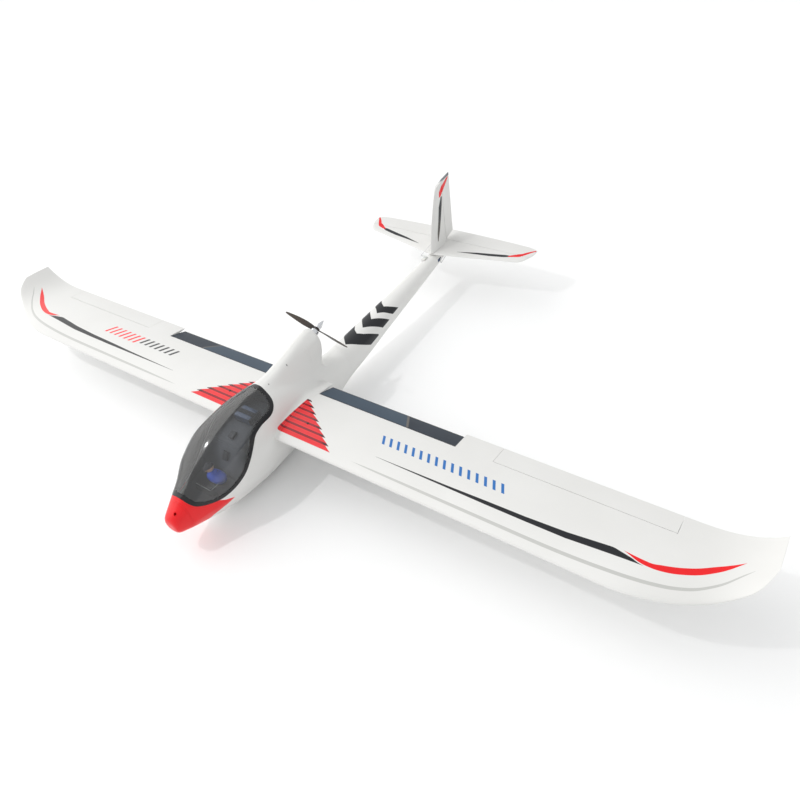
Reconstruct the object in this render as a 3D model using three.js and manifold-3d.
// Pusher motor glider, 2.6 m span: a foam airframe with a bulbous pod, a motor hump behind the
// canopy, a slim tail boom, a plain wing with flaps and ailerons, and a conventional tail.
//
// Units are millimetres, +Z is up, the nose points to -Y and the aircraft's left wing to +X.
// Everything is drawn about the airframe datum: y = 0 on the flap and aileron hinge line and
// z = 0 on the wing's top skin at that line. The last group moves the datum so that the part
// stands on z = 0 with its plan centred on the origin.
import * as THREE from "three";
import { mergeVertices } from "three/addons/utils/BufferGeometryUtils.js";
import Module from "manifold-3d";

const wasm = await Module();
wasm.setup();

// ---------------------------------------------------------------- driving dimensions

const GAP = 0.3; // between pieces that touch
const FIT = 0.35; // around a shaft or a pin in its hole

// Fuselage: rows of y, half width, top and bottom of the hull's cross section.
const HULL_ROWS = [
  [-522, 0, -70, -70],
  [-521, 19, -56, -87],
  [-490, 36, -24, -109],
  [-440, 52, 12, -129],
  [-380, 76, 60, -144],
  [-300, 90, 92, -158],
  [-220, 90, 99, -168],
  [-130, 84, 89, -170],
  [0, 70, 44, -165],
  [120, 56, -4, -152],
  [200, 48, -19, -134],
  [300, 46, -20, -118],
  [430, 40, -18, -98],
  [600, 31, -13, -76],
  [790, 22, -5, -49],
  [862, 17, -4, -38],
];
const HULL_ROUNDNESS = 2.3; // exponent of the superellipse section
const HULL_SIDES = 24;
const NOSE_Y = -522;
const NOSE_JOINT_Y = -479;
const POD_END_Y = 200;
const BOOM_END_Y = 862;
const WALL = 5;
const CAVITY = [-460, 194];

// Motor hump: rows of y, the height of its top and its half width.
const HUMP_ROWS = [
  [-200, 60, 36],
  [-117, 88, 36],
  [-60, 98, 37],
  [0, 111, 37],
  [60, 123, 37],
  [95, 127, 35],
  [120, 125, 30],
];
const HUMP_ROUNDNESS = 3;
const HUMP_BLEND = 12; // higher is a sharper valley between hump and pod
const HUMP_END_Y = 120;

// Canopy: the edge of its frame in side view, from the front to the rear.
const CANOPY_EDGE = [
  [-469, -8],
  [-466, -20],
  [-455, -35],
  [-430, -48],
  [-400, -53],
  [-370, -50],
  [-340, -40],
  [-310, -23],
  [-280, 2],
  [-255, 26],
  [-235, 42],
  [-205, 49],
  [-165, 48],
  [-142, 56],
  [-128, 71],
  [-122, 92],
];
const CANOPY_FRAME_WIDTH = 12;
const CANOPY_FRAME_THICKNESS = 4;
const CANOPY_GLASS_THICKNESS = 1.5;

// Wing
const WING_ROOT_X = 92;
const HALF_SPAN = 1300;
const WING_LE_Y = -190;
const WING_TE_Y = 61;
const WING_CHORD = WING_TE_Y - WING_LE_Y;
const WING_THICKNESS = 0.105; // of the chord
const WING_CAMBER = 0.03;
const WING_CAMBER_AT = 0.4;
const TIP_SWEEP_X = 1000; // the leading edge curves back from here
const TIP_SWEEP = 120;
const TIP_CORNER_X = 1260; // and is rounded off from here
const TIP_CORNER = 38;
const TIP_RISE_X = 1100; // the tip sweeps up from here
const TIP_RISE_TE = 60;
const TIP_RISE_LE = 66;
const TIP_RISE_POWER = 3.4;
const TE_THICKNESS = 1.2;

const HINGE_Y = 0;
const HINGE_SLOT = 0.5; // from the hinge axis to each side of the slot
const FLAP_X = [96, 547];
const FLAP_REST = 10; // degrees down as it stands
const FLAP_BEVEL = 48;
const AILERON_X = [655, 1103];
const AILERON_BEVEL = 32;
const SURFACE_END_GAP = 0.8;

const SPAR_RADIUS = 7;
const SPAR_BORE = 6;
const SPAR_Y = -115;
const SPAR_HALF_LENGTH = 600;

// Tail
const TAIL_HALF_SPAN = 339;
const TAIL_ROOT_LE_Y = 770;
const TAIL_SWEEP = 0.225;
const TAIL_TE_Y = 952;
const TAIL_TE_SWEEP = 12;
const TAIL_THICKNESS = 8;
const ELEVATOR_HINGE_Y = 878;
const ELEVATOR_BEVEL = 20;
const FIN_BASE_Z = TAIL_THICKNESS / 2 + GAP;
const FIN_LE_Y = 770;
const FIN_SHOULDER = [833, 225]; // y and z of the top of its leading edge
const FIN_TOP_Z = 241;
const FIN_TE_Y = 924;
const RUDDER_HINGE_Y = 868;
const RUDDER_BEVEL = 30;
const RUDDER_FOOT_Z = [9, 21]; // at the hinge and at the trailing edge

// Motor and propeller, on a thrust line that climbs towards the rear
const THRUST_ANGLE = 10;
const MOTOR_FRONT = [124, 101]; // y and z where the thrust line leaves the hump
const MOTOR_RADIUS = 14;
const MOTOR_RECESS_RADIUS = 16;
const SHAFT_RADIUS = 2.4;
const PROP_RADIUS = 110;
const PROP_REST = -160; // degrees from +X

// Micro servo: its output shaft is the local origin, along local +X
const SERVO_LENGTH = 23;
const SERVO_WIDTH = 12;
const SERVO_HEIGHT = 21;
const SERVO_NOSE = 6; // case beyond the output shaft
const ARM_THICKNESS = 1.6;
const ROD_RADIUS = 1;
const PIN_RADIUS = 0.75;

const GROUND = 173; // depth of the belly skid's flat under the datum
const PLAN_CENTRE_Y = (NOSE_Y + TAIL_TE_Y) / 2;

// ---------------------------------------------------------------- materials

function paint(color, roughness, metalness = 0, opacity = 1) {
  return new THREE.MeshStandardMaterial({
    color, roughness, metalness, opacity, transparent: opacity < 1,
  });
}

const foam = paint(0xe9e8e3, 0.55);
const redPaint = paint(0xc8202a, 0.4);
const slatePaint = paint(0x35414f, 0.5);
const blackPlastic = paint(0x16171a, 0.35);
const tray = paint(0x25272b, 0.8);
const smokeGlass = paint(0x3b3f44, 0.08, 0, 0.45);
const skin = paint(0xc99b78, 0.6);
const battery = paint(0x2a3b57, 0.45);
const webbing = paint(0x1c1c1e, 0.9);
const carbon = paint(0x1b1c1f, 0.35, 0.1);
const aluminium = paint(0xb9bcc2, 0.3, 0.9);
const copper = paint(0x8a4a2b, 0.45, 0.7);
const steel = paint(0xa7a9ad, 0.3, 0.95);
const whiteNylon = paint(0xdcdcd8, 0.5);
const blueCase = paint(0x24324f, 0.4);

// ---------------------------------------------------------------- solid helpers

const rad = THREE.MathUtils.degToRad;
const vec = (x, y, z) => new THREE.Vector3(x, y, z);

/** A manifold solid from a closed three.js geometry. */
function solid(geometry) {
  geometry.deleteAttribute("normal");
  geometry.deleteAttribute("uv");
  const merged = mergeVertices(geometry, 1e-4);
  return new wasm.Manifold(new wasm.Mesh({
    numProp: 3,
    vertProperties: new Float32Array(merged.attributes.position.array),
    triVerts: new Uint32Array(merged.index.array),
  }));
}

function placed(body, matrix) {
  return body.transform(matrix.elements);
}

function moved(body, x, y, z) {
  return placed(body, new THREE.Matrix4().makeTranslation(x, y, z));
}

function mirrored(body) {
  return placed(body, new THREE.Matrix4().makeScale(-1, 1, 1));
}

function box([x0, x1], [y0, y1], [z0, z1]) {
  const geometry = new THREE.BoxGeometry(x1 - x0, y1 - y0, z1 - z0);
  return solid(geometry.translate((x0 + x1) / 2, (y0 + y1) / 2, (z0 + z1) / 2));
}

/** A round bar between two points. */
function bar(from, to, radius, sides = 12) {
  const along = to.clone().sub(from);
  const geometry = new THREE.CylinderGeometry(radius, radius, along.length(), sides);
  const turn = new THREE.Quaternion().setFromUnitVectors(vec(0, 1, 0), along.normalize());
  const middle = from.clone().add(to).multiplyScalar(0.5);
  return solid(geometry.applyQuaternion(turn).translate(middle.x, middle.y, middle.z));
}

/** A solid of revolution about local Z, from [radius, z] points that start and end on the axis. */
function turned(profile, sides = 20) {
  const points = profile.map(([r, z]) => new THREE.Vector2(r, z));
  return solid(new THREE.LatheGeometry(points, sides).rotateX(Math.PI / 2));
}

/** A flat plate in the YZ plane, from x0 to x1, with an outline of [y, z] points. */
function plate(outline, [x0, x1], holes = []) {
  const shape = new THREE.Shape(outline.map(([y, z]) => new THREE.Vector2(y, z)));
  holes.forEach(([y, z, r]) => {
    shape.holes.push(new THREE.Path().absarc(y, z, r, 0, 2 * Math.PI));
  });
  const geometry = new THREE.ExtrudeGeometry(shape, {
    depth: x1 - x0, bevelEnabled: false, curveSegments: 5,
  });
  const yzToX = new THREE.Matrix4().makeBasis(vec(0, 1, 0), vec(0, 0, 1), vec(1, 0, 0));
  return solid(geometry.applyMatrix4(yzToX).translate(x0, 0, 0));
}

/** A closed skin over rings of points, with a flat fan at each end. */
function loft(rings) {
  const sides = rings[0].length;
  const points = rings.flat();
  const faces = [];
  for (let i = 0; i + 1 < rings.length; i++) {
    for (let j = 0; j < sides; j++) {
      const a = i * sides + j;
      const b = i * sides + ((j + 1) % sides);
      faces.push(a, b, b + sides, a, b + sides, a + sides);
    }
  }
  [0, rings.length - 1].forEach((end) => {
    const centre = points.length;
    const sum = rings[end].reduce((total, p) => total.add(p), vec(0, 0, 0));
    points.push(sum.divideScalar(sides));
    for (let j = 0; j < sides; j++) {
      const a = end * sides + j;
      const b = end * sides + ((j + 1) % sides);
      faces.push(...(end === 0 ? [centre, b, a] : [centre, a, b]));
    }
  });
  const volume = faces.reduce((sum, _, k) => (k % 3 ? sum
    : sum + points[faces[k]].clone().cross(points[faces[k + 1]]).dot(points[faces[k + 2]])), 0);
  if (volume < 0) faces.reverse();
  const geometry = new THREE.BufferGeometry().setFromPoints(points);
  return solid(geometry.setIndex(faces));
}

/** Smooth, never overshooting values between rows of [position, value...]. */
function between(rows, position, column, warp = (y) => y) {
  const at = rows.map((row) => warp(row[0]));
  const value = rows.map((row) => row[column]);
  const rise = value.slice(1).map((v, i) => (v - value[i]) / (at[i + 1] - at[i]));
  const slope = value.map((_, i) => {
    if (i === 0) return rise[0];
    if (i === value.length - 1) return rise[i - 1];
    const product = rise[i - 1] * rise[i];
    return product <= 0 ? 0 : (2 * product) / (rise[i - 1] + rise[i]);
  });
  const u = THREE.MathUtils.clamp(warp(position), at[0], at[at.length - 1]);
  const i = Math.min(at.filter((a) => a <= u).length, at.length - 1) - 1;
  const width = at[i + 1] - at[i];
  const t = (u - at[i]) / width;
  return (1 + 2 * t) * (1 - t) ** 2 * value[i] + t * (1 - t) ** 2 * width * slope[i]
    + t * t * (3 - 2 * t) * value[i + 1] + t * t * (t - 1) * width * slope[i + 1];
}

// ---------------------------------------------------------------- fuselage skin

const noseWarp = (y) => Math.sqrt(Math.max(y - NOSE_Y, 0));

function superRadius(angle, halfWidth, halfHeight, power) {
  const c = Math.abs(Math.cos(angle) / halfWidth) ** power;
  const s = Math.abs(Math.sin(angle) / halfHeight) ** power;
  return (c + s) ** (-1 / power);
}

/** Distance of the skin from the section's centre, pod and hump together. */
function skinRadius(y, angle, centre, halfHeight) {
  const halfWidth = between(HULL_ROWS, y, 1, noseWarp);
  const pod = superRadius(angle, halfWidth, halfHeight, HULL_ROUNDNESS);
  const onHump = y >= HUMP_ROWS[0][0] && y <= HUMP_END_Y && Math.sin(angle) > 0;
  if (!onHump) return pod;
  const height = between(HUMP_ROWS, y, 1) - centre;
  const hump = superRadius(angle, between(HUMP_ROWS, y, 2), height, HUMP_ROUNDNESS);
  return (pod ** HUMP_BLEND + hump ** HUMP_BLEND) ** (1 / HUMP_BLEND);
}

/** One ring of the fuselage skin, moved outwards by offset. */
function skinRing(y, offset, withHump = true) {
  const top = between(HULL_ROWS, y, 2, noseWarp);
  const bottom = between(HULL_ROWS, y, 3, noseWarp);
  const centre = (top + bottom) / 2;
  const halfHeight = (top - bottom) / 2;
  const halfWidth = between(HULL_ROWS, y, 1, noseWarp);
  return Array.from({ length: HULL_SIDES }, (_, k) => {
    const angle = (2 * Math.PI * (k + 0.5)) / HULL_SIDES;
    const radius = withHump ? skinRadius(y, angle, centre, halfHeight)
      : superRadius(angle, halfWidth, halfHeight, HULL_ROUNDNESS);
    const out = Math.max(radius + offset, 0.5);
    return vec(out * Math.cos(angle), y, centre + out * Math.sin(angle));
  });
}

/** Ring stations: closer together at the nose, then evenly spaced. */
function stations(from, to, step) {
  const list = [];
  for (let i = 1; i <= 5; i++) list.push(NOSE_Y + 50 * (i / 5) ** 2);
  for (let y = NOSE_JOINT_Y + step; y < to; y += step) list.push(y);
  const inside = list.filter((y) => y > from + 1 && y < to - 1);
  return [from, ...inside, to];
}

function podSkin(offset) {
  const front = stations(NOSE_Y + 0.3, HUMP_END_Y, 26);
  const rings = front.map((y) => skinRing(y, offset));
  [HUMP_END_Y + 2, 150, 175, POD_END_Y].forEach((y) => rings.push(skinRing(y, offset)));
  return loft(rings);
}

const pod = podSkin(0);
const cavity = loft(stations(...CAVITY, 52).map((y) => skinRing(y, -WALL, false)));

// ---------------------------------------------------------------- canopy outline

const edgeCurve = new THREE.SplineCurve(CANOPY_EDGE.map(([y, z]) => new THREE.Vector2(y, z)));

/** Everything above the canopy's edge, with the edge moved inwards by inset. */
function aboveCanopyEdge(inset) {
  const count = 30;
  const outline = [];
  for (let i = 0; i <= count; i++) {
    const point = edgeCurve.getPoint(i / count);
    const along = edgeCurve.getTangent(i / count);
    outline.push([point.x - along.y * inset, point.y + along.x * inset]);
  }
  const first = outline[0];
  const last = outline[outline.length - 1];
  outline.unshift([first[0] - 6, first[1] + 14], [first[0] - 6, 160]);
  [outline[0], outline[1]] = [outline[1], outline[0]];
  outline.push([last[0] + 8, last[1] + 14], [last[0] + 8, 160]);
  return plate(outline, [-130, 130]);
}

const canopyBlank = pod.intersect(aboveCanopyEdge(GAP));
const frameTop = aboveCanopyEdge(GAP + CANOPY_FRAME_WIDTH);
const canopyFrame = canopyBlank.subtract(frameTop).subtract(podSkin(-CANOPY_FRAME_THICKNESS));
const canopyGlass = pod.intersect(aboveCanopyEdge(2 * GAP + CANOPY_FRAME_WIDTH))
  .subtract(podSkin(-CANOPY_GLASS_THICKNESS));

// ---------------------------------------------------------------- wing section

/** The wing's plan and height at a spanwise station. */
function wingRib(x) {
  const sweep = Math.max((x - TIP_SWEEP_X) / (HALF_SPAN - TIP_SWEEP_X), 0);
  const rise = Math.max((x - TIP_RISE_X) / (HALF_SPAN - TIP_RISE_X), 0);
  const corner = Math.max((x - TIP_CORNER_X) / (HALF_SPAN - TIP_CORNER_X), 0);
  const le = WING_LE_Y + TIP_SWEEP * sweep ** 2 + TIP_CORNER * corner ** 3;
  const taper = 1 - 0.7 * rise ** 3;
  return {
    x, le, te: WING_TE_Y,
    leRise: TIP_RISE_LE * rise ** TIP_RISE_POWER,
    teRise: TIP_RISE_TE * rise ** TIP_RISE_POWER,
    thickness: WING_THICKNESS * taper,
  };
}

/** Half thickness of a four-digit section, as a fraction of the chord. */
function halfThickness(t, thickness) {
  return 5 * thickness * (0.2969 * Math.sqrt(t) - 0.126 * t - 0.3516 * t ** 2
    + 0.2843 * t ** 3 - 0.1036 * t ** 4);
}

function camberLine(t) {
  const p = WING_CAMBER_AT;
  const scale = WING_CAMBER / (t < p ? p * p : (1 - p) ** 2);
  return t < p ? scale * (2 * p * t - t * t) : scale * (1 - 2 * p + 2 * p * t - t * t);
}

// The chord line sits so that the top skin passes through z = 0 on the hinge line.
const HINGE_T = (HINGE_Y - WING_LE_Y) / WING_CHORD;
const HINGE_TOP = halfThickness(HINGE_T, WING_THICKNESS) + camberLine(HINGE_T);
const CHORD_Z = -WING_CHORD * HINGE_TOP;

function wingSkin(rib, y, side) {
  const chord = rib.te - rib.le;
  const t = THREE.MathUtils.clamp((y - rib.le) / chord, 0, 1);
  const lift = CHORD_Z + rib.leRise + (rib.teRise - rib.leRise) * t;
  const half = halfThickness(t, rib.thickness) * chord + (TE_THICKNESS / 2) * t;
  return lift + camberLine(t) * chord * (rib.thickness / WING_THICKNESS) + side * half;
}

/** Closed ring round a rib: top from the trailing edge forwards, then bottom to the rear. */
function ribRing(rib, surface, count = 12) {
  const ring = [];
  const y = (i) => rib.te + (rib.le - rib.te) * (1 - Math.cos((Math.PI * i) / count)) / 2;
  for (let i = 0; i <= count; i++) ring.push(vec(rib.x, y(i), surface(rib, y(i), 1)));
  for (let i = count - 1; i >= 0; i--) ring.push(vec(rib.x, y(i), surface(rib, y(i), -1)));
  return ring;
}

const RIBS = [92, 600, 1000, 1050, 1100, 1140, 1180, 1215, 1245, 1270, 1288, HALF_SPAN];
const wingBlank = loft(RIBS.map((x) => ribRing(wingRib(x), wingSkin)));
const rootRib = wingRib(WING_ROOT_X);
const wingTop = (y) => wingSkin(rootRib, y, 1);
const wingUnder = (y) => wingSkin(rootRib, y, -1);

/** Wing-root stub moulded on each side of the pod. */
const rootStub = loft([30, WING_ROOT_X - GAP].map((x) => ribRing({ ...rootRib, x }, wingSkin)));

/** A control surface cut from its blank behind the hinge, bevelled so that it can swing. */
function hinged(blank, [x0, x1], bevel) {
  const slope = Math.tan(rad(bevel));
  const aft = plate([
    [HINGE_SLOT, 40], [HINGE_SLOT, 0], [HINGE_SLOT + 40 * slope, -40], [90, -40], [90, 40],
  ], [x0 + SURFACE_END_GAP, x1 - SURFACE_END_GAP]);
  return blank.intersect(aft);
}

const flapBlank = hinged(wingBlank, FLAP_X, FLAP_BEVEL);
const flapLeft = placed(flapBlank, new THREE.Matrix4().makeRotationX(-rad(FLAP_REST)));
const aileronLeft = hinged(wingBlank, AILERON_X, AILERON_BEVEL);

// ---------------------------------------------------------------- servo linkages

/** Outline round two circles, as a servo arm or a horn's lever has. */
function leverOutline([y0, z0, r0], [y1, z1, r1], steps = 3) {
  const heading = Math.atan2(z1 - z0, y1 - y0);
  const outline = [];
  [[y0, z0, r0, heading + Math.PI / 2], [y1, z1, r1, heading - Math.PI / 2]]
    .forEach(([y, z, r, start]) => {
      for (let i = 0; i <= steps; i++) {
        const a = start + (Math.PI * i) / steps;
        outline.push([y + r * Math.cos(a), z + r * Math.sin(a)]);
      }
    });
  return outline;
}

/**
 * A servo, its arm, a pushrod and a horn about a hinge on local X at the origin, with the
 * surface towards local +Y. The arm and the horn have one radius and one direction, so the
 * four pivots stay a parallelogram. servo is the output shaft's [y, z].
 */
function linkage({ servo: [sy, sz], radius, lean, foot }) {
  const armX = [GAP, GAP + ARM_THICKNESS];
  const rodX = armX[1] + GAP + ROD_RADIUS;
  const dy = -radius * Math.sin(rad(lean));
  const dz = -radius * Math.cos(rad(lean));
  const servoCase = box([-1.5 - SERVO_HEIGHT, -1.5], [sy - SERVO_LENGTH + SERVO_NOSE,
    sy + SERVO_NOSE], [sz - SERVO_WIDTH / 2, sz + SERVO_WIDTH / 2])
    .add(bar(vec(-3, sy, sz), vec(0, sy, sz), 5.5))
    .add(bar(vec(-3, sy, sz), vec(armX[1], sy, sz), 2.2, 10));
  const arm = plate(leverOutline([sy, sz, 4], [sy + dy, sz + dz, 2.3]), armX,
    [[sy, sz, 2.2 + FIT], [sy + dy, sz + dz, PIN_RADIUS + FIT]]);
  const rod = bar(vec(rodX, sy + dy, sz + dz), vec(rodX, dy, dz), ROD_RADIUS, 6)
    .add(bar(vec(0, sy + dy, sz + dz), vec(rodX + ROD_RADIUS * 0.8, sy + dy, sz + dz), PIN_RADIUS, 6))
    .add(bar(vec(0, dy, dz), vec(rodX + ROD_RADIUS * 0.8, dy, dz), PIN_RADIUS, 6));
  const tip = leverOutline([dy, dz, 2.3], [dy, dz, 2.3]);
  const hull = convex([...foot, ...tip]);
  const horn = plate(hull, armX, [[dy, dz, PIN_RADIUS + FIT]]);
  return { servo: servoCase, arm, rod, horn };
}

/** Convex outline round [y, z] points, anticlockwise. */
function convex(points) {
  const sorted = [...points].sort((a, b) => a[0] - b[0] || a[1] - b[1]);
  const half = (list) => list.reduce((chain, p) => {
    const turn = (a, b) => (b[0] - a[0]) * (p[1] - a[1]) - (b[1] - a[1]) * (p[0] - a[0]);
    while (chain.length > 1 && turn(chain[chain.length - 2], chain[chain.length - 1]) <= 1e-6) {
      chain.pop();
    }
    chain.push(p);
    return chain;
  }, []).slice(0, -1);
  return [...half(sorted), ...half(sorted.reverse())];
}

/** [y, z] turned about the hinge by degrees. */
function swung([y, z], degrees) {
  const c = Math.cos(rad(degrees));
  const s = Math.sin(rad(degrees));
  return [y * c - z * s, y * s + z * c];
}

const WING_SERVO = [-70, wingUnder(-70) + SERVO_WIDTH / 2 + 0.4];
const FLAP_LINK_X = 300;
const AILERON_LINK_X = 850;

/** Where a horn's foot meets the underside, y0 to y1, for a surface at its neutral angle. */
function hornFoot(y0, y1) {
  const z = Math.min(wingUnder(y0), wingUnder(y1)) - GAP;
  return [[y0, z], [y1, z], [y0, z - 1.5], [y1, z - 1.5]];
}

const flapLink = linkage({
  servo: WING_SERVO, radius: 22, lean: FLAP_REST,
  foot: hornFoot(15, 25).map((point) => swung(point, -FLAP_REST)),
});
const aileronLink = linkage({
  servo: WING_SERVO, radius: 18, lean: 0, foot: hornFoot(9, 19),
});

/** The pocket that holds a servo in the wing's underside, with room for the arm's swing. */
const servoPocket = box([-1.5 - SERVO_HEIGHT - 0.5, 6], [
  WING_SERVO[0] - SERVO_LENGTH + SERVO_NOSE - 0.5, WING_SERVO[0] + 14,
], [-40, WING_SERVO[1] + SERVO_WIDTH / 2 + 0.5]);

// ---------------------------------------------------------------- wing panel and spar

function slot([x0, x1]) {
  return box([x0, x1], [HINGE_Y - HINGE_SLOT, 90], [-60, 60]);
}

const SPAR_Z = (wingTop(SPAR_Y) + wingUnder(SPAR_Y)) / 2;
const SCREW_X = 150;
const sparBore = bar(vec(-SPAR_HALF_LENGTH - 4, SPAR_Y, SPAR_Z),
  vec(SPAR_HALF_LENGTH + 4, SPAR_Y, SPAR_Z), SPAR_RADIUS + GAP, 16);
const SCREW_LENGTH = 5;
const SCREW_Z = wingTop(SPAR_Y) - SCREW_LENGTH + 0.2;
const wingScrew = turned([
  [0, 0], [1.6, 0], [1.6, 2.4], [3.6, 4], [3.6, SCREW_LENGTH], [0, SCREW_LENGTH],
], 10);
const screwHole = turned([
  [0, -3], [2, -3], [2, 2.2], [4, 3.7], [4, 14], [0, 14],
], 10);

const wingLeft = wingBlank
  .subtract(slot(FLAP_X))
  .subtract(slot(AILERON_X))
  .subtract(sparBore)
  .subtract(moved(servoPocket, FLAP_LINK_X, 0, 0))
  .subtract(moved(servoPocket, AILERON_LINK_X, 0, 0))
  .subtract(moved(screwHole, SCREW_X, SPAR_Y, SCREW_Z));
const spar = bar(vec(-SPAR_HALF_LENGTH, SPAR_Y, SPAR_Z), vec(SPAR_HALF_LENGTH, SPAR_Y, SPAR_Z),
  SPAR_RADIUS, 16).subtract(bar(vec(-SPAR_HALF_LENGTH - 1, SPAR_Y, SPAR_Z),
  vec(SPAR_HALF_LENGTH + 1, SPAR_Y, SPAR_Z), SPAR_BORE, 16));

// ---------------------------------------------------------------- tail

function tailRib(x) {
  const corner = Math.max((Math.abs(x) - 290) / (TAIL_HALF_SPAN - 290), 0);
  return {
    x,
    le: TAIL_ROOT_LE_Y + TAIL_SWEEP * Math.abs(x) + 60 * corner ** 3,
    te: TAIL_TE_Y - TAIL_TE_SWEEP * (x / TAIL_HALF_SPAN) ** 2 - 10 * corner ** 2,
    thickness: TAIL_THICKNESS * (1 - 0.25 * Math.abs(x) / TAIL_HALF_SPAN - 0.35 * corner ** 2),
  };
}

/** A thin symmetric section: round in front, parallel, then tapering to the rear. */
function tailSkin(rib, y, side) {
  const t = THREE.MathUtils.clamp((y - rib.le) / (rib.te - rib.le), 0, 1);
  const front = Math.sqrt(Math.min(t / 0.12, 1) * (2 - Math.min(t / 0.12, 1)));
  const rear = 1 - 0.75 * Math.max((t - 0.6) / 0.4, 0);
  return side * (rib.thickness / 2) * Math.max(front * rear, 0.08);
}

const TAIL_RIBS = [0, 150, 290, 314, 330, TAIL_HALF_SPAN];
const tailStations = [...TAIL_RIBS.slice(1).map((x) => -x).reverse(), ...TAIL_RIBS];
const tailBlank = loft(tailStations.map((x) => ribRing(tailRib(x), tailSkin, 10)));
const stabilizer = tailBlank.intersect(
  box([-400, 400], [700, ELEVATOR_HINGE_Y - HINGE_SLOT], [-20, 20]));

/** A wedge-nosed blank behind a hinge on local X at [y, z] = [0, 0]. */
function wedge(bevel, length, [x0, x1]) {
  const slope = Math.tan(rad(bevel));
  return plate([
    [HINGE_SLOT, 0], [HINGE_SLOT + 20 * slope, -20], [length, -20], [length, 20],
    [HINGE_SLOT + 20 * slope, 20],
  ], [x0, x1]);
}

const elevator = tailBlank.intersect(
  moved(wedge(ELEVATOR_BEVEL, 100, [-400, 400]), 0, ELEVATOR_HINGE_Y, 0));

/** Fin and rudder together: rings up the z axis from the stabilizer to the top. */
function finRing(z) {
  const up = (z - FIN_BASE_Z) / (FIN_SHOULDER[1] - FIN_BASE_Z);
  const le = FIN_LE_Y + (FIN_SHOULDER[0] - FIN_LE_Y) * up ** 1.4;
  const half = 3.5 + 2.5 * (1 - up) + 4 * Math.max(1 - up * 5, 0) ** 2;
  const outline = (side) => (t) => {
    const front = Math.sqrt(Math.min(t / 0.15, 1) * (2 - Math.min(t / 0.15, 1)));
    const rear = 1 - 0.72 * Math.max((t - 0.55) / 0.45, 0);
    return vec(side * half * Math.max(front * rear, 0.06), le + (FIN_TE_Y - le) * t, z);
  };
  const spread = Array.from({ length: 11 }, (_, i) => (1 - Math.cos((Math.PI * i) / 10)) / 2);
  return [...spread.map(outline(1)), ...spread.slice(0, -1).reverse().map(outline(-1))];
}

const finLevels = [0, 10, 22, 40, 120, FIN_TOP_Z - FIN_BASE_Z].map((z) => z + FIN_BASE_Z);
const topSlope = (FIN_TOP_Z - FIN_SHOULDER[1]) / (FIN_TE_Y - FIN_SHOULDER[0]);
const finTopAt = (y) => FIN_SHOULDER[1] + topSlope * (y - FIN_SHOULDER[0]);
const finTrim = plate([
  [700, -20], [1000, -20], [1000, finTopAt(1000)], [FIN_SHOULDER[0] + 8, finTopAt(844)],
  [FIN_SHOULDER[0] - 2, FIN_SHOULDER[1] - 8], [700, FIN_SHOULDER[1] - 60],
], [-30, 30]);
const finBlank = loft(finLevels.map(finRing)).intersect(finTrim);
const fin = finBlank.intersect(
  box([-30, 30], [700, RUDDER_HINGE_Y - HINGE_SLOT], [-20, 300]));
const rudderFoot = plate([
  [RUDDER_HINGE_Y - 5, RUDDER_FOOT_Z[0]], [FIN_TE_Y + 20, RUDDER_FOOT_Z[1] + 4],
  [FIN_TE_Y + 20, -20], [RUDDER_HINGE_Y - 5, -20],
], [-30, 30]);

/** Local X up to world +Z and local -Z, the horn's side, out to world -X. */
const upright = new THREE.Matrix4().makeBasis(vec(0, 0, 1), vec(0, 1, 0), vec(1, 0, 0));
const rudderWedge = placed(wedge(RUDDER_BEVEL, 100, [-20, 300]), upright);
const rudder = finBlank.intersect(moved(rudderWedge, 0, RUDDER_HINGE_Y, 0)).subtract(rudderFoot);

const ELEVATOR_LINK_X = 22.5;
const elevatorLink = linkage({
  servo: [-84, -27], radius: 14, lean: 0,
  foot: [[4, -4.3], [13, -4.3], [4, -6], [13, -6]],
});
const RUDDER_LINK_Z = -1;
const RUDDER_HORN_Z = 27;
const rudderLink = linkage({
  servo: [-118, -12], radius: 16, lean: 0,
  foot: [[5, -6.2], [13, -6.2], [5, -7.5], [13, -7.5]],
});
const rudderPlace = new THREE.Matrix4().makeTranslation(0, RUDDER_HINGE_Y, RUDDER_LINK_Z)
  .multiply(upright);
const elevatorPlace = new THREE.Matrix4().makeTranslation(ELEVATOR_LINK_X, ELEVATOR_HINGE_Y, 0);

/** The rudder's rod climbs over the stabilizer from the boom to the horn. */
function climbingRod(y0, y1, offset, climb) {
  const x = ARM_THICKNESS + 2 * GAP + ROD_RADIUS + 0.8;
  const low = vec(x, y0, offset[0]);
  const high = vec(x + climb, y1, offset[1]);
  const pin = (end) => bar(vec(end.x + 0.8, end.y, end.z), vec(end.x - x, end.y, end.z),
    PIN_RADIUS, 6);
  return bar(low, high, ROD_RADIUS, 6).add(pin(low)).add(pin(high));
}

const rudderRod = climbingRod(-118, 0, [-28, -16], RUDDER_HORN_Z - RUDDER_LINK_Z);
const rudderHorn = moved(rudderLink.horn, RUDDER_HORN_Z - RUDDER_LINK_Z, 0, 0);

/** A box cut round a linkage's servo case, open towards the output. */
function caseRecess([sy, sz]) {
  return box([-2 - SERVO_HEIGHT, 8], [sy - SERVO_LENGTH + SERVO_NOSE - 0.5,
    sy + SERVO_NOSE + 0.5], [sz - SERVO_WIDTH / 2 - 0.5, sz + SERVO_WIDTH / 2 + 0.5]);
}

const boomStations = [POD_END_Y + GAP, 250, 300, 360, 430, 520, 600, 700, 790, 845, BOOM_END_Y];
const boomRings = boomStations.map((y) => skinRing(y, y === BOOM_END_Y ? -5 : 0));
const tailBoom = loft(boomRings)
  .subtract(loft([POD_END_Y, 300, 430, 600, 700].map((y) => skinRing(y, -4))))
  .subtract(box([-60, 60], [765, 900], [-TAIL_THICKNESS / 2 - 2 * GAP, 40]))
  .subtract(placed(caseRecess([-84, -27]), elevatorPlace))
  .subtract(placed(caseRecess([-118, -12]), rudderPlace));

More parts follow.
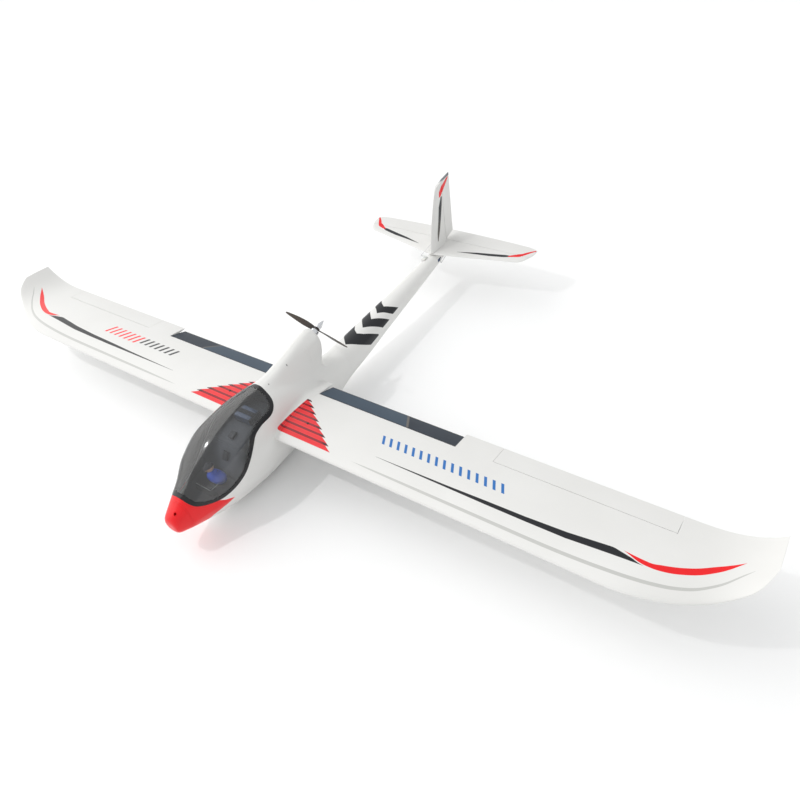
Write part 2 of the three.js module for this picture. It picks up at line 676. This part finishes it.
// ---------------------------------------------------------------- motor and propeller

/** Local Z along the thrust line, with local z = 0 where it leaves the hump. */
const thrustLine = new THREE.Matrix4()
  .makeTranslation(0, ...MOTOR_FRONT)
  .multiply(new THREE.Matrix4().makeRotationX(-rad(90 - THRUST_ANGLE)));

const boreAlong = (from, to, radius) => bar(vec(0, 0, from), vec(0, 0, to), radius, 16);
const motorRecess = placed(boreAlong(-17, 60, MOTOR_RECESS_RADIUS), thrustLine);
const wireDuct = bar(vec(0, 104, 92), vec(0, 70, 20), 5);

const motorMount = turned([[0, -16.7], [15.5, -16.7], [15.5, -13.7], [0, -13.7]])
  .subtract(boreAlong(-20, 0, 5));
const motorStator = turned([[0, -13.4], [12.6, -13.4], [12.6, -9.4], [11, -9.4], [11, 6], [0, 6]])
  .subtract(boreAlong(-20, 20, SHAFT_RADIUS + FIT));
const motorBell = turned([
  [0, 7.5], [12, 7.5], [12, -9], [MOTOR_RADIUS, -9], [MOTOR_RADIUS, 8.5], [11.5, 11], [0, 11],
]).subtract(boreAlong(-20, 20, SHAFT_RADIUS + FIT));
const motorShaft = boreAlong(-12, 44, SHAFT_RADIUS);
const spinner = turned([[0, 20], [9, 20], [9, 24], [7.4, 33], [4.6, 44], [0.8, 54], [0, 54]])
  .subtract(boreAlong(10, 45, SHAFT_RADIUS + FIT));

/** A blade section at a distance from the hub: an ellipse turned to its pitch. */
function bladeRing(at) {
  const part = at / PROP_RADIUS;
  const chord = 9 + 22 * Math.sin(Math.PI * Math.min(part, 0.97) ** 0.9) * (1 - 0.25 * part);
  const pitch = Math.atan(0.32 / (0.35 + part * 1.6));
  return Array.from({ length: 8 }, (_, k) => {
    const a = (2 * Math.PI * k) / 8;
    const along = (chord / 2) * Math.cos(a);
    const thick = (1.7 - part) * Math.sin(a);
    return vec(at, along * Math.cos(pitch) - thick * Math.sin(pitch),
      along * Math.sin(pitch) + thick * Math.cos(pitch) + 15.7);
  });
}

const blade = loft([4, 14, 30, 50, 75, 95, 106, PROP_RADIUS].map(bladeRing));
const halfTurn = new THREE.Matrix4().makeRotationZ(Math.PI);
const propeller = placed(
  turned([[0, 11.8], [7, 11.8], [7, 19.6], [0, 19.6]]).add(blade).add(placed(blade, halfTurn)),
  new THREE.Matrix4().makeRotationZ(rad(PROP_REST)),
).subtract(boreAlong(5, 30, SHAFT_RADIUS + FIT));

// ---------------------------------------------------------------- fuselage shells

const shell = pod.add(rootStub).add(mirrored(rootStub))
  .subtract(cavity)
  .subtract(aboveCanopyEdge(0))
  .subtract(sparBore)
  .subtract(motorRecess)
  .subtract(wireDuct)
  .subtract(bar(vec(0, 180, -76), vec(0, 220, -76), 9))
  .intersect(box([-200, 200], [NOSE_JOINT_Y, POD_END_Y + 1], [-200, 200]));
const fuselageLeft = shell.intersect(box([GAP / 2, 200], [-600, 300], [-200, 200]));
const fuselageRight = shell.intersect(box([-200, -GAP / 2], [-600, 300], [-200, 200]));
const noseCap = pod.intersect(box([-200, 200], [-600, NOSE_JOINT_Y - GAP], [-200, 200]));

const SKID_Y = [-410, -70];
const SKID_DEPTH = 5;
const skidRings = stations(...SKID_Y, 42).map((y) => skinRing(y, SKID_DEPTH));
const skidBand = box([-22, 22], SKID_Y, [-GROUND, -80]);
const bellySkid = loft(skidRings).intersect(skidBand).subtract(podSkin(GAP));

// ---------------------------------------------------------------- cockpit and electronics

// The tray's top in side view: cockpit floor, two ramps and the battery deck.
const TRAY_TOP = [[-455, -70], [-324, -70], [-276, 8], [-225, 26], [-124, 26]];
const TRAY_THICKNESS = 4;
const FLOOR = TRAY_TOP[0][1] + GAP;
const DECK = TRAY_TOP[4][1] + GAP;
const trayUnder = TRAY_TOP.map(([y, z]) => [y, z - TRAY_THICKNESS]).reverse();
const trayRings = stations(...CAVITY, 52).map((y) => skinRing(y, -WALL - GAP, false));
const cockpitTray = loft(trayRings).intersect(plate([...TRAY_TOP, ...trayUnder].reverse(), [-120, 120]));
const instrumentPanel = plate([
  [-398, FLOOR], [-384, FLOOR], [-384, -60], [-390, -58],
], [-37, 37]);

/** A box that lies on one of the tray's ramps, centred at y. */
function onRamp(y, [width, length, height]) {
  const next = TRAY_TOP.findIndex(([end]) => end > y);
  const [[y0, z0], [y1, z1]] = [TRAY_TOP[next - 1], TRAY_TOP[next]];
  const rise = (z1 - z0) / (y1 - y0);
  const z = z0 + rise * (y - y0);
  return placed(box([-width / 2, width / 2], [-length / 2, length / 2], [GAP, GAP + height]),
    new THREE.Matrix4().makeTranslation(0, y, z)
      .multiply(new THREE.Matrix4().makeRotationX(Math.atan(rise))));
}

const speedController = onRamp(-294, [18, 26, 8]);
const receiver = onRamp(-252, [17, 22, 9]);

// Pilot: a bust on the cockpit floor, with its head a little forward and to its right
const torso = placed(turned([[0, FLOOR], [26, FLOOR], [33, -60], [32, -48], [20, -38], [8, -34],
  [7, -28], [0, -28]], 16), new THREE.Matrix4().makeTranslation(0, -346, 0)
  .multiply(new THREE.Matrix4().makeScale(1, 0.6, 1)));
const head = placed(solid(new THREE.SphereGeometry(13, 14, 10)),
  new THREE.Matrix4().makeTranslation(-4, -352, -21)
    .multiply(new THREE.Matrix4().makeScale(0.9, 1, 1.15)));
const pilot = torso.add(head);

const BATTERY_X = 32;
const BATTERY_TOP = DECK + 22;
const batteryPack = box([-BATTERY_X, BATTERY_X], [-208, -166], [DECK, BATTERY_TOP]);
const batteryStrap = box([-BATTERY_X - 1.5, BATTERY_X + 1.5], [-194, -180],
  [DECK, BATTERY_TOP + GAP + 1.2])
  .subtract(box([-BATTERY_X - GAP, BATTERY_X + GAP], [-200, -170], [DECK - 1, BATTERY_TOP + GAP]));

// ---------------------------------------------------------------- assembly

const airframe = new THREE.Group();
airframe.position.set(0, -PLAN_CENTRE_Y, GROUND);

function add(name, body, material) {
  const { vertProperties, triVerts, numProp } = body.getMesh();
  const geometry = new THREE.BufferGeometry();
  geometry.setAttribute("position", new THREE.BufferAttribute(vertProperties, numProp));
  geometry.setIndex(new THREE.BufferAttribute(triVerts, 1));
  geometry.computeVertexNormals();
  const mesh = new THREE.Mesh(geometry, material);
  mesh.name = name;
  airframe.add(mesh);
}

/** The same piece on both wings, drawn for the left one. */
function addPair(name, body, material) {
  add(`${name}_left`, body, material);
  add(`${name}_right`, mirrored(body), material);
}

add("fuselage_left", fuselageLeft, foam);
add("fuselage_right", fuselageRight, foam);
add("nose_cap", noseCap, redPaint);
add("belly_skid", bellySkid, foam);
add("tail_boom", tailBoom, foam);
add("canopy_frame", canopyFrame, blackPlastic);
add("canopy_glass", canopyGlass, smokeGlass);
add("cockpit_tray", cockpitTray, tray);
add("instrument_panel", instrumentPanel, blackPlastic);
add("pilot_figure", pilot, skin);
add("speed_controller", speedController, blackPlastic);
add("receiver", receiver, blackPlastic);
add("battery_pack", batteryPack, battery);
add("battery_strap", batteryStrap, webbing);

addPair("wing", wingLeft, foam);
addPair("flap", flapLeft, slatePaint);
addPair("aileron", aileronLeft, foam);
addPair("wing_screw", moved(wingScrew, SCREW_X, SPAR_Y, SCREW_Z), steel);
add("wing_spar", spar, carbon);

[["flap", flapLink, FLAP_LINK_X], ["aileron", aileronLink, AILERON_LINK_X]]
  .forEach(([name, link, x]) => {
    addPair(`${name}_servo`, moved(link.servo, x, 0, 0), blueCase);
    addPair(`${name}_servo_arm`, moved(link.arm, x, 0, 0), whiteNylon);
    addPair(`${name}_pushrod`, moved(link.rod, x, 0, 0), steel);
    addPair(`${name}_horn`, moved(link.horn, x, 0, 0), whiteNylon);
  });

add("stabilizer", stabilizer, foam);
add("elevator", elevator, foam);
add("vertical_fin", fin, foam);
add("rudder", rudder, foam);
add("elevator_servo", placed(elevatorLink.servo, elevatorPlace), blueCase);
add("elevator_servo_arm", placed(elevatorLink.arm, elevatorPlace), whiteNylon);
add("elevator_pushrod", placed(elevatorLink.rod, elevatorPlace), steel);
add("elevator_horn", placed(elevatorLink.horn, elevatorPlace), whiteNylon);
add("rudder_servo", placed(rudderLink.servo, rudderPlace), blueCase);
add("rudder_servo_arm", placed(rudderLink.arm, rudderPlace), whiteNylon);
add("rudder_pushrod", placed(rudderRod, rudderPlace), steel);
add("rudder_horn", placed(rudderHorn, rudderPlace), whiteNylon);

add("motor_mount", placed(motorMount, thrustLine), blackPlastic);
add("motor_stator", placed(motorStator, thrustLine), copper);
add("motor_bell", placed(motorBell, thrustLine), aluminium);
add("motor_shaft", placed(motorShaft, thrustLine), steel);
add("propeller", placed(propeller, thrustLine), blackPlastic);
add("spinner", placed(spinner, thrustLine), aluminium);

const glider = new THREE.Group();
glider.name = "glider";
glider.add(airframe);

export default glider;
